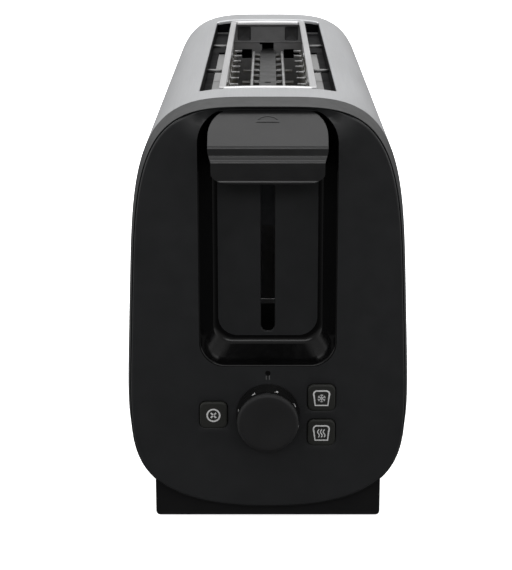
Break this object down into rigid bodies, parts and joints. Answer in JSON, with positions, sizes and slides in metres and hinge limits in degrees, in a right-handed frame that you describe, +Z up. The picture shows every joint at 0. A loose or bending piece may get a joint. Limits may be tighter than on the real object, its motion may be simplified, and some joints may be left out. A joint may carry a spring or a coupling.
{
  "type": "pop up toaster",
  "caption": "Long-slot pop-up toaster with a sliding bread lift, closing guards, numbered browning knob, push buttons, fold-up bun rack and rear crumb tray.",
  "frame": {"origin": "middle of the footprint, on the surface that the feet stand on", "axes": "+Z up, +Y from the lever end to the rear along the long slot, +X to the right seen from the lever end"},
  "size_m": [0.1362, 0.405, 0.2066],
  "materials": {
    "steel_wrap": "fine brushing along the body",
    "frame_black": "satin gloss",
    "panel_black": "satin gloss",
    "base_black": "fine grain",
    "lever_black": "satin gloss",
    "knob_black": "satin",
    "button_black": "satin",
    "liner_black": "matt",
    "rubber_black": "matt",
    "rack_chrome": "bright",
    "carriage_steel": "dull bright wire",
    "chamber_sheet": "dull sheet",
    "reflector_sheet": "satin sheet",
    "mica": "flaky sheet",
    "heater_alloy": "oxidised ribbon",
    "zinc_steel": "zinc plated",
    "magnet_iron": "dull",
    "coil_copper": "varnished winding",
    "contact_brass": "satin",
    "bakelite": "matt",
    "circuit_green": "solder mask",
    "tray_steel": "satin sheet"
  },
  "bodies": {
    "chassis": {"outer_shell": "steel_wrap", "front_frame": "frame_black", "front_fascia": "panel_black", "rear_cap": "frame_black", "base_housing": "base_black", "rubber_feet": "rubber_black", "cord_gland": "rubber_black", "base_screws": "zinc_steel", "fascia_screws": "zinc_steel", "chassis_screws": "zinc_steel", "slot_liner": "liner_black", "chamber_front_plate": "chamber_sheet", "chamber_rear_plate": "chamber_sheet", "left_reflector": "reflector_sheet", "right_reflector": "reflector_sheet", "left_heater_board": "mica", "right_heater_board": "mica", "left_heater_wire": "heater_alloy", "right_heater_wire": "heater_alloy", "lift_frame": "zinc_steel", "guide_rod": "rack_chrome", "lift_spring": "zinc_steel", "magnet_yoke": "magnet_iron", "magnet_coil": "coil_copper", "contact_block": "bakelite", "contact_blades": "contact_brass", "control_board": "circuit_green", "browning_pot": "bakelite", "button_switches": "bakelite", "terminal_block": "bakelite", "rack_anchor_pins": "rack_chrome"},
    "lever_carriage": {"lever_handle": "lever_black", "lever_stem": "zinc_steel", "lift_bracket": "zinc_steel", "carriage_rail": "carriage_steel", "carriage_wires": "carriage_steel", "armature_plate": "magnet_iron"},
    "left_guard_body": {"left_guard": "carriage_steel"},
    "right_guard_body": {"right_guard": "carriage_steel"},
    "knob_body": {"browning_knob": "knob_black", "pot_shaft": "zinc_steel"},
    "stop_button_body": {"stop_button": "button_black"},
    "defrost_button_body": {"defrost_button": "button_black"},
    "reheat_button_body": {"reheat_button": "button_black"},
    "tray_body": {"crumb_tray": "tray_steel"},
    "front_legs_body": {"front_rack_legs": "rack_chrome"},
    "rack_body": {"rack_frame": "rack_chrome", "rack_ear_pins": "rack_chrome"},
    "rear_legs_body": {"rear_rack_legs": "rack_chrome"}
  },
  "joints": [
    {"name": "lever_slide", "type": "slide", "parent": "chassis", "child": "lever_carriage", "axis": [0, 0, -1], "range_m": [0, 0.08], "stiffness_N_per_m": 60, "springref_m": -0.08, "deforming": ["lift_spring"]},
    {"name": "left_guard_slide", "type": "slide", "parent": "chassis", "child": "left_guard_body", "axis": [1, 0, 0], "range_m": [0, 0.006]},
    {"name": "right_guard_slide", "type": "slide", "parent": "chassis", "child": "right_guard_body", "axis": [-1, 0, 0], "range_m": [0, 0.006]},
    {"name": "knob_turn", "type": "hinge", "parent": "chassis", "child": "knob_body", "pos_m": [0, -0.1845, 0.056], "axis": [0, 1, 0], "range_deg": [0, 270]},
    {"name": "stop_press", "type": "slide", "parent": "chassis", "child": "stop_button_body", "axis": [0, 1, 0], "range_m": [0, 0.0015], "stiffness_N_per_m": 600, "springref_m": -0.0008},
    {"name": "defrost_press", "type": "slide", "parent": "chassis", "child": "defrost_button_body", "axis": [0, 1, 0], "range_m": [0, 0.0015], "stiffness_N_per_m": 600, "springref_m": -0.0008},
    {"name": "reheat_press", "type": "slide", "parent": "chassis", "child": "reheat_button_body", "axis": [0, 1, 0], "range_m": [0, 0.0015], "stiffness_N_per_m": 600, "springref_m": -0.0008},
    {"name": "tray_slide", "type": "slide", "parent": "chassis", "child": "tray_body", "axis": [0, 1, 0], "range_m": [0, 0.28]},
    {"name": "front_legs_fold", "type": "hinge", "parent": "chassis", "child": "front_legs_body", "pos_m": [0, -0.043, 0.2009], "axis": [-1, 0, 0], "range_deg": [0, 80]},
    {"name": "rack_level", "type": "hinge", "parent": "front_legs_body", "child": "rack_body", "pos_m": [0, -0.083, 0.2009], "axis": [-1, 0, 0], "range_deg": [-80, 0]},
    {"name": "rear_legs_fold", "type": "hinge", "parent": "chassis", "child": "rear_legs_body", "pos_m": [0, 0.061, 0.2009], "axis": [-1, 0, 0], "range_deg": [0, 80]}
  ],
  "couplings": [
    {"joint": "left_guard_slide", "follows": "lever_slide", "ratio": 0.075},
    {"joint": "right_guard_slide", "follows": "lever_slide", "ratio": 0.075},
    {"joint": "rack_level", "follows": "front_legs_fold", "ratio": -1},
    {"joint": "rear_legs_fold", "follows": "front_legs_fold", "ratio": 1}
  ]
}
